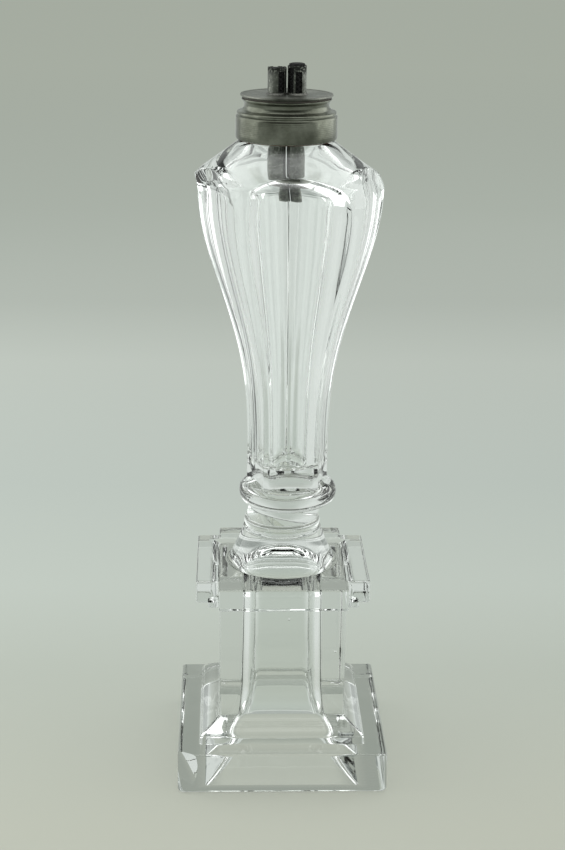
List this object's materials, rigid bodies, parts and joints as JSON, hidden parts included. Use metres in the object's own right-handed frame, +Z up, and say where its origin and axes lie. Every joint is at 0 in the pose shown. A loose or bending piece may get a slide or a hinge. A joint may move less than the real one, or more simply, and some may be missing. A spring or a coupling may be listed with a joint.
{
  "type": "oil lamp",
  "caption": "Pressed glass oil lamp: square stepped monument base, tall loop-pattern font, metal collar and a screw-in burner with slotted wick tubes.",
  "frame": {"origin": "middle of the rim that the lamp stands on", "axes": "+Z up along the lamp, -Y towards the front, where the pick slots look"},
  "size_m": [0.084, 0.084, 0.285],
  "materials": {
    "base_glass": "pressed clear lead glass with a grey tint, fire-polished, worn at the edges",
    "wafer_glass": "clear glass, smooth",
    "font_glass": "clear lead glass blown in a mould, fire-polished, slightly wavy",
    "cement": "old brown-stained plaster, matte",
    "collar_metal": "old pewter, dull grey with soft highlights and fine turning lines",
    "washer_leather": "oil-soaked leather, nearly black",
    "burner_metal": "old pewter, dull, mottled and slightly pitted",
    "screw_metal": "old pewter, cast and chased",
    "tube_metal": "tinned sheet, dark and blotched by heat",
    "solder": "soft solder, dull",
    "wick_cotton": "braided cotton, oil-soaked and charred at the top"
  },
  "bodies": {
    "root": {"base": "base_glass", "wafer": "wafer_glass", "font": "font_glass", "cement": "cement", "collar": "collar_metal"},
    "washer": {"washer": "washer_leather"},
    "burner": {"burner_plate": "burner_metal", "burner_screw": "screw_metal", "tube_left": "tube_metal", "tube_right": "tube_metal", "tube_solder": "solder"},
    "wick_left": {"wick_left": "wick_cotton"},
    "wick_right": {"wick_right": "wick_cotton"}
  },
  "joints": [
    {"name": "burner_rise", "type": "slide", "parent": "root", "child": "washer", "axis": [0, 0, 1], "range_m": [0, 0.0059]},
    {"name": "burner_turn", "type": "hinge", "parent": "washer", "child": "burner", "pos_m": [0, 0, 0.2727], "axis": [0, 0, 1], "range_deg": [0, 1170]},
    {"name": "wick_left_slide", "type": "slide", "parent": "burner", "child": "wick_left", "axis": [0, 0, 1], "range_m": [-0.004, 0.008]},
    {"name": "wick_right_slide", "type": "slide", "parent": "burner", "child": "wick_right", "axis": [0, 0, 1], "range_m": [-0.004, 0.008]}
  ],
  "couplings": [
    {"joint": "burner_rise", "follows": "burner_turn", "m_per_rad": 0.00028648}
  ]
}
